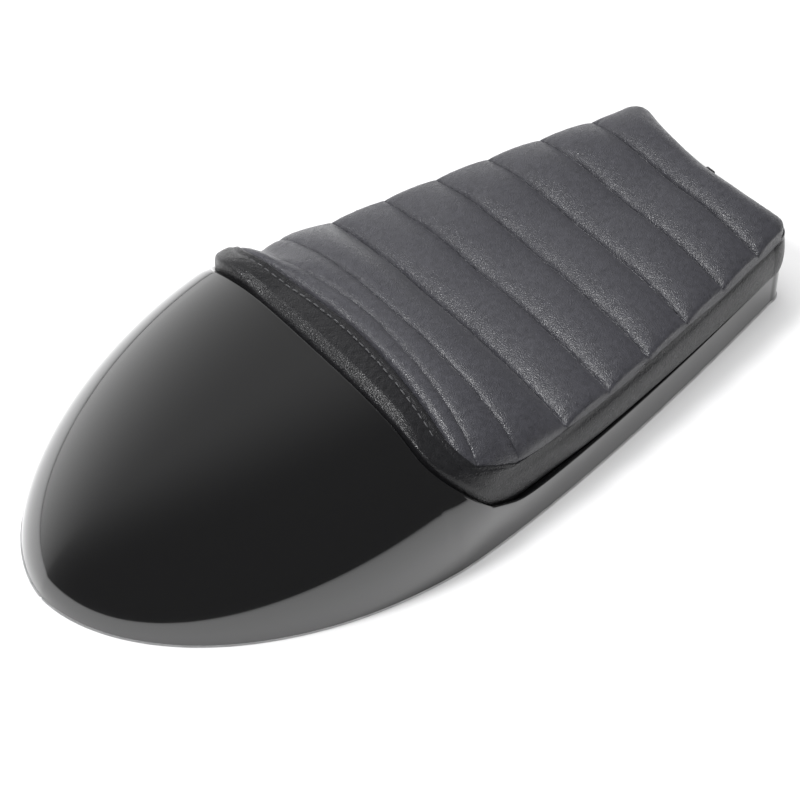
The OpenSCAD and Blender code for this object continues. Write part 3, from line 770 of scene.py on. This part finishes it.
def gathers(X, Y, K, off_seam, edge, inner):
    """Fine folds that run out of each channel and in from the side seam, and broad dimples."""
    fold = noise(Y / 3.1, K + off_seam / 26, 7) + 0.6 * noise(Y / 1.9, K * 2 + off_seam / 20, 8)
    ends = CHANNEL_FOLD + CHANNEL_FOLD_MORE * np.exp(-edge / CHANNEL_SIDE_FADE)
    from_channels = ends * fold * np.exp(-off_seam / CHANNEL_FADE) * smooth(edge / 3) * inner
    fold = noise(X / 3.4, edge / 30, 11) + 0.5 * noise(X / 2.1, edge / 24, 12)
    rear = SIDE_FRONT + SIDE_REAR * smooth((SIDE_X - X) / SIDE_RUN)
    from_side = SIDE_FOLD * fold * rear * np.exp(-edge / SIDE_FADE) * smooth(edge / 1.2)
    dimples = DIMPLE * noise(X / DIMPLE_L, Y / DIMPLE_W, 13) * smooth(edge / DIMPLE_START)
    return from_channels + from_side + dimples


def rib_cover():
    """The tuck-and-roll top: rolls, creased channels and the gathers at the side seam."""
    x, s, h, k = rib_stations()
    v = mix(np.sin(np.linspace(-math.pi / 2, math.pi / 2, COVER_N)), np.linspace(-1, 1, COVER_N), 0.25)
    X, V = np.meshgrid(x, v, indexing="ij")
    S, H, K = (np.repeat(q[:, None], COVER_N, 1) for q in (s, h, k))
    W = cover_half(X)
    Y = W * V + SIDE_SPREAD * V ** 9
    full = H == RIB_H
    off_seam = np.minimum(S, 1 - S) * np.where(full, RIB_PITCH, SLOPE_RIB_L)
    edge = np.clip(np.minimum(W * (1 - np.abs(V)), np.minimum(X - SEAM_X, COVER_END - X)), 0, None)
    inner = np.where((X > SEAM_X + 1) & (X < FRONT_X - 1), 1.0, 0.0)
    back = swept(X, Y)

    # Rolls, the channels creased between them, and the seam's tuck round the whole cover
    roll, end, fullness = rolls(S, K, V, Y)
    crease = np.exp(-off_seam / CREASE_FADE) * (CREASE + CREASE_VARY * noise(Y / 6, K, 5))
    Z = pad_z(back, Y, V) + H * roll * end * fullness
    Z = Z - crease * inner * smooth(edge / CREASE_START) * np.where(full, 1, SLOPE_CREASE)
    Z = Z - TUCK * np.exp(-edge / TUCK_FADE) - REAR_TUCK * np.exp(-(X - SEAM_X) / REAR_TUCK_FADE)
    Z = Z + gathers(X, Y, K, off_seam, edge, inner)

    # Channels wander a little, and the rolls swell out between them at the side seam
    wander = WANDER * noise(Y / WANDER_L, K * 5.3, 17) * smooth(edge / WANDER_START)
    swell = SWELL * roll * np.where(full, 1, SLOPE_SWELL)
    swell = swell * np.exp(-edge / SWELL_FADE) * smooth(edge / SWELL_START)
    top = uneven(np.stack([back - hollow(X, V) + wander * inner, Y + np.sign(V) * swell, Z], -1))
    return closed_cover("ribbed_cover", top, lambda q: seam_z(q) - COVER_T - COVER_SINK, LEATHER)


def band_profile():
    """Share of height, way in and bulge from the band's foot to its seam."""
    key = np.array([[0, 0, 0.35], [0.05, 0, 0.62], [0.2, 0, 0.88], [0.45, 0, 1], [0.72, 0, 0.92],
                    [0.9, 0, 0.72], [1, 0.02, 0.5], [1, 0.12, 0.22], [1, 0.3, 0.04], [1, 0.5, 0],
                    [1, 0.75, 0], [1, 1, 0]])
    t = np.linspace(0, len(key) - 1, BAND_UP_N)
    b = np.stack([np.interp(t, np.arange(len(key)), column) for column in key.T], -1)
    for _ in range(10):
        b[1:-1] = (b[:-2] + 2 * b[1:-1] + b[2:]) / 4
    return b


class Band:
    """The band's two lines in plan, the rolled edge and the seam, with what is measured along them."""

    def __init__(self):
        self.edge = outline(PAD_X, PAD_REAR_R, PAD_REAR_IN, PAD_FRONT_IN,
                            FRONT_X + PAD_OVER - BAND_BULGE, PAD_FRONT_R, BAND_COUNTS)
        self.seam = outline(SEAM_X, SEAM_REAR_R, SEAM_REAR_IN, SEAM_FRONT_IN,
                            COVER_END, SEAM_CORNER_R, BAND_COUNTS)
        self.seam[:, 0] = swept(self.seam[:, 0], self.seam[:, 1])
        x, y = self.edge.T
        self.reach = np.hypot(self.seam[:, 0] - x, self.seam[:, 1] - y)
        self.foot_z, self.seam_z = edge_z(x, y), base_z(*self.seam.T)
        after = np.roll(self.edge, -1, 0)
        d = after - np.roll(self.edge, 1, 0)
        d = d / np.linalg.norm(d, axis=1)[:, None]
        self.out = np.c_[d[:, 1], -d[:, 0]]
        step = np.linalg.norm(after - self.edge, axis=1)
        along = np.concatenate([[0], np.cumsum(step)[:-1]])
        self.along = np.minimum(along, step.sum() - along)
        self.side = np.where(y > 0, 37.0, 0.0)
        self.bulge = mix(RECESS_BULGE, BAND_BULGE, smooth((x - LIP_X - SHOULDER_L) / BULGE_RUN))
        self.rear = smooth((SEAM_X + BOLSTER_PAST - x) / BOLSTER_RUN)
        self.middle = 1 - smooth((np.abs(y) - BOLSTER_MIDDLE) / BOLSTER_SIDE)
        right = np.exp(-((y - WRINKLED_Y) / WRINKLED_RUN) ** 2)
        self.wrinkled = self.rear * mix(WRINKLED_LEAST, 1, right)

    def plan(self, way):
        """x and y at a share of the way from the edge to the seam."""
        return mix(self.edge, self.seam, way).T

    def top(self, way):
        """Height of the band's top, less the steep face over the lip."""
        face = ROLL_FACE - self.reach * way
        drop = ROLL_SLOPE * knee(face, ROLL_EDGE_R)
        top = roll_z(self.foot_z, self.seam_z, self.reach, way)
        return top - mix(EDGE_DROP * max(0, 1 - 4 * way), drop, self.rear * self.middle)

    def wrinkles(self, share, way):
        """Folds over the roll's edge, strongest on the bolster's right."""
        shoulder = math.exp(-((way - WRINKLE_WAY) / WRINKLE_WIDTH) ** 2)
        shoulder = shoulder * (1 if share > 0.6 else share ** 2)
        skew = self.reach * way * 0.5
        folds = noise((self.along + skew) / 2.4 + self.side, self.reach * way / 6.5 + share, 21)
        folds = folds + 0.6 * noise((self.along - skew) / 1.5 + self.side, self.reach * way / 4 + share, 22)
        return (WRINKLE + WRINKLE_MORE * self.wrinkled) * shoulder * folds

    def outer_row(self, share, way, bulge):
        """One line round the band's outside: wrinkled, swelling, puckered and tucked at the seam."""
        x, y = self.plan(way)
        z = mix(DECK_Z + BAND_FOOT, self.top(way), share)
        to_seam = np.hypot(self.seam[:, 0] - x, self.seam[:, 1] - y)
        wrinkle = self.wrinkles(share, way)
        pucker = noise(self.along / PUCKER_L + self.side, 0.3, 23) * np.exp(-to_seam / PUCKER_FADE)
        swell = BAND_SWELL * noise(self.along / BAND_SWELL_L + self.side, share * 0.8 + way * 1.3, 24)
        push = self.bulge * bulge + (wrinkle + swell) * min(1, 3 * share)
        lift = wrinkle * (way > 0) + PUCKER * pucker
        tuck = BAND_TUCK * np.exp(-to_seam / BAND_TUCK_FADE)
        welt = WELT * self.rear * np.exp(-((to_seam - WELT_IN) / WELT_W) ** 2)
        valley = VALLEY * np.exp(-((to_seam - TOPSTITCH_IN) / VALLEY_W) ** 2) * self.rear * (way > 0.2)
        z = z + lift - tuck + welt - valley
        return np.c_[x + self.out[:, 0] * push, y + self.out[:, 1] * push, z]

    def inner_rows(self):
        """Lines back down the inside of the band, to its foot."""
        rows = []
        for way, low in BAND_INSIDE:
            z = mix(self.foot_z, self.seam_z, 1 - (1 - way) ** 2) - low
            rows.append(np.c_[self.plan(way).T - self.out * 3 * (1 - way), z])
        for depth, z in BAND_BACK:
            rows.append(np.c_[self.edge - self.out * depth, np.full(len(self.edge), DECK_Z + z)])
        return rows


def side_band():
    """One strip round the pad, whose rear stretch is the bolster."""
    band = Band()
    rows = [band.outer_row(*line) for line in band_profile()]
    grid = uneven(np.stack(rows + band.inner_rows()))
    faces = grid_faces(*grid.shape[:2], True, True)
    # The band takes the darkened leather, whose darkness is painted shade.
    return weld(mesh_object("band_and_bolster", grid.reshape(-1, 3), faces, SHADED_BAND_LEATHER))


def foam_block():
    """The foam under the covers, its edges eased."""
    a, b = PAD_X + BAND_T, FRONT_X - FOAM_IN
    v = np.sin(np.linspace(-math.pi / 2, math.pi / 2, FOAM_ACROSS_N))
    X, V = np.meshgrid(mix(a, b, eased(FOAM_ALONG_N, 0.9)), v, indexing="ij")
    Y = foam_half(X) * V
    edge = np.clip(np.minimum(foam_half(X) * (1 - np.abs(V)), np.minimum(X - a, b - X)), 0, None)
    Z = pad_z(X, Y, V) - COVER_T - FOAM_UNDER - FOAM_EASE * np.exp(-edge / FOAM_EASE_FADE)
    Z = Z + FOAM_ROUGH * noise(X / 9, Y / 9, 31)
    top = np.stack([X - hollow(X, V), Y, Z], -1)
    return closed_cover("foam_block", top, lambda q: np.full(len(q), DECK_Z + BOARD_T), open_foam())


def tube(points, radius, sides=8):
    """Rings of a tube through points, drawn in at both ends."""
    rings = []
    ang = np.arange(sides) / sides * 2 * math.pi
    for i, p in enumerate(points):
        d = points[min(len(points) - 1, i + 1)] - points[max(0, i - 1)]
        d = d / np.linalg.norm(d)
        side = np.cross(d, [0, 0, 1.0])
        side /= np.linalg.norm(side)
        r = radius * (0.35 if i in (0, len(points) - 1) else 1)
        rings.append(p + r * (np.cos(ang)[:, None] * side + np.sin(ang)[:, None] * np.cross(side, d)))
    return np.stack(rings)


def stitch(i, w):
    """The points of stitch i of the row that spans w on both sides of the middle."""
    a, b = (mix(-w, w, (i + q) / TOPSTITCH_N) for q in (STITCH_START, STITCH_END))
    t = np.linspace(0, 1, STITCH_POINTS)
    y = mix(a, b, t)
    seam = swept(np.full(len(y), SEAM_X), y)
    reach = seam - PAD_X
    x = seam - TOPSTITCH_IN + STITCH_WANDER * math.sin(i * 2.4)
    z = roll_z(edge_z(np.full(len(y), PAD_X), y), base_z(seam, y), reach, 1 - TOPSTITCH_IN / reach)
    z = z - ROLL_SLOPE * knee(ROLL_FACE - (x - PAD_X), ROLL_EDGE_R)
    return uneven(np.c_[x, y, z - STITCH_SINK + STITCH_ARCH * np.sin(math.pi * t) ** 0.5])


def topstitch():
    """The row of stitches behind the bolster's seam."""
    w = SEAT_W / 2 - SEAM_REAR_IN - SEAM_REAR_R
    points, faces, start = [], [], 0
    for i in range(TOPSTITCH_N):
        rings = tube(stitch(i, w), THREAD_R)
        m, n = rings.shape[:2]
        points.append(rings.reshape(-1, 3))
        faces += [*grid_faces(m, n, wrap_cols=True, start=start),
                  start + np.arange(n)[::-1], start + (m - 1) * n + np.arange(n)]
        start += m * n
    return mesh_object("topstitch_thread", np.vstack(points), faces, thread())


def front_tab():
    """The little tab sewn into the middle of the front seam."""
    lo, hi = (np.array(c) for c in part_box("front_tab"))
    hi = hi + np.array([0, 0, TAB_UP * MM])
    bpy.ops.mesh.primitive_cube_add(size=1, location=(lo + hi) / 2)
    obj = bpy.context.object
    obj.name = "front_seam_tab"
    obj.scale = hi - lo
    bpy.ops.object.transform_apply(location=False, rotation=False, scale=True)
    bevel = obj.modifiers.new("round", "BEVEL")
    bevel.width = TAB_ROUND * MM
    bevel.segments = 4
    # The tab takes the band's darkened leather, whose darkness is painted shade.
    obj.data.materials.append(SHADED_BAND_LEATHER)
    shade_smooth(obj.data)
    return obj


def dress():
    """Gives the plain solids their finish and lays or puts the visual pieces in their places."""
    for node, material in FINISH.items():
        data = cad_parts[node].data
        data.materials.clear()
        data.materials.append(material)
    lacquer = shell_face()
    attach(lacquer, "root")
    for obj, node, slot, fill in ((rib_cover(), "rib_cover", "leather", 0.8),
                                  (side_band(), "side_band", "leather", 0.8),
                                  (foam_block(), "foam_core", "foam", 1.0),
                                  (front_tab(), "front_tab", "leather", None),
                                  (topstitch(), "topstitch", "thread", None)):
        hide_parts(node)
        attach(obj, "root")


# Studio

def floor():
    """Pale paper that keeps the shadow. It glows a little to the camera and less in the gloss."""
    bpy.ops.mesh.primitive_plane_add(size=FLOOR_SIZE, location=(0, 0, FLOOR_Z))
    obj = bpy.context.object
    obj.name = "floor"
    material = principled("floor paper", (0.86, 0.86, 0.865), 0.8, Specular_IOR_Level=0.1)
    path = add(material, "ShaderNodeLightPath")
    glow = add(material, "ShaderNodeEmission", Color=(1, 1, 1, 1), Strength=1.0)
    blend = add(material, "ShaderNodeMixShader")
    seen = calculate(material, "MULTIPLY", FLOOR_GLOW)
    share = calculate(material, "MULTIPLY_ADD", MIRRORED_GLOW)
    wire(material, path, "Is Camera Ray", seen, 0)
    wire(material, path, "Is Glossy Ray", share, 0)
    wire(material, seen, 0, share, 2)
    wire(material, share, 0, blend, 0)
    wire(material, shader(material), 0, blend, 1)
    wire(material, glow, 0, blend, 2)
    wire(material, blend, 0, material.node_tree.nodes["Material Output"], 0)
    obj.data.materials.append(material)


def area(name, direction, distance, size, energy):
    """A square lamp aimed at the seat from the direction given."""
    lamp = bpy.data.lights.new(name, "AREA")
    lamp.size = size
    lamp.energy = energy
    obj = link(bpy.data.objects.new(name, lamp))
    aim = Vector(direction).normalized()
    obj.location = aim * distance + Vector(LAMP_AIM)
    obj.rotation_euler = aim.to_track_quat("Z", "Y").to_euler()
    return obj


def lamps():
    """A small softbox behind for the leather alone, and a wide fill above that gloss doesn't show."""
    softbox = area("rear softbox", **SOFTBOX)
    lit = bpy.data.collections.new("leather pieces")
    for name in (*LEATHER_PIECES, "floor"):
        lit.objects.link(bpy.data.objects[name])
    softbox.light_linking.receiver_collection = lit
    area("top fill", **TOP_FILL).visible_glossy = False


def room():
    """A dark room with a pale wall on the object's left, white where the camera sees it."""
    world = bpy.data.worlds.new("studio")
    bpy.context.scene.world = world
    world.use_nodes = True
    nodes = world.node_tree.nodes
    base = nodes["Background"]
    base.inputs["Color"].default_value = (1, 1, 1, 1)
    path = add(world, "ShaderNodeLightPath")
    coords = add(world, "ShaderNodeTexCoord")
    split = add(world, "ShaderNodeSeparateXYZ")
    above = calculate(world, "MAXIMUM", 0.0)
    curve = calculate(world, "POWER", LEFT_WALL_POWER)
    level = calculate(world, "MULTIPLY_ADD", LEFT_WALL, ROOM)
    white = add(world, "ShaderNodeBackground", Color=(1, 1, 1, 1), Strength=1.0)
    blend = add(world, "ShaderNodeMixShader")
    wire(world, coords, "Generated", split, 0)
    wire(world, split, "Y", above, 0)
    wire(world, above, 0, curve, 0)
    wire(world, curve, 0, level, 0)
    wire(world, level, 0, base, "Strength")
    wire(world, path, "Is Camera Ray", blend, 0)
    wire(world, base, 0, blend, 1)
    wire(world, white, 0, blend, 2)
    wire(world, blend, 0, nodes["World Output"], 0)


def camera():
    """The photograph's camera: its place on a sphere round the target, its roll and its lens."""
    a, e, r = (math.radians(q) for q in (CAM_AZ, CAM_EL, CAM_ROLL))
    back = Vector((math.sin(a) * math.cos(e), -math.cos(a) * math.cos(e), math.sin(e)))
    right = Vector((math.cos(a), math.sin(a), 0))
    up = back.cross(right)
    turned_right = math.cos(r) * right + math.sin(r) * up
    turned_up = -math.sin(r) * right + math.cos(r) * up
    data = bpy.data.cameras.new("camera")
    data.sensor_width = SENSOR
    data.lens = CAM_FOCAL_PX / PHOTO_PX * SENSOR
    obj = link(bpy.data.objects.new("camera", data))
    place = Vector(CAM_TARGET) * MM + back * CAM_DISTANCE * MM
    turn = Matrix((turned_right, turned_up, back)).transposed().to_4x4()
    obj.matrix_world = Matrix.Translation(place) @ turn
    bpy.context.scene.camera = obj


dress()
floor()
lamps()
room()
camera()
bpy.context.scene.view_settings.view_transform = "Standard"
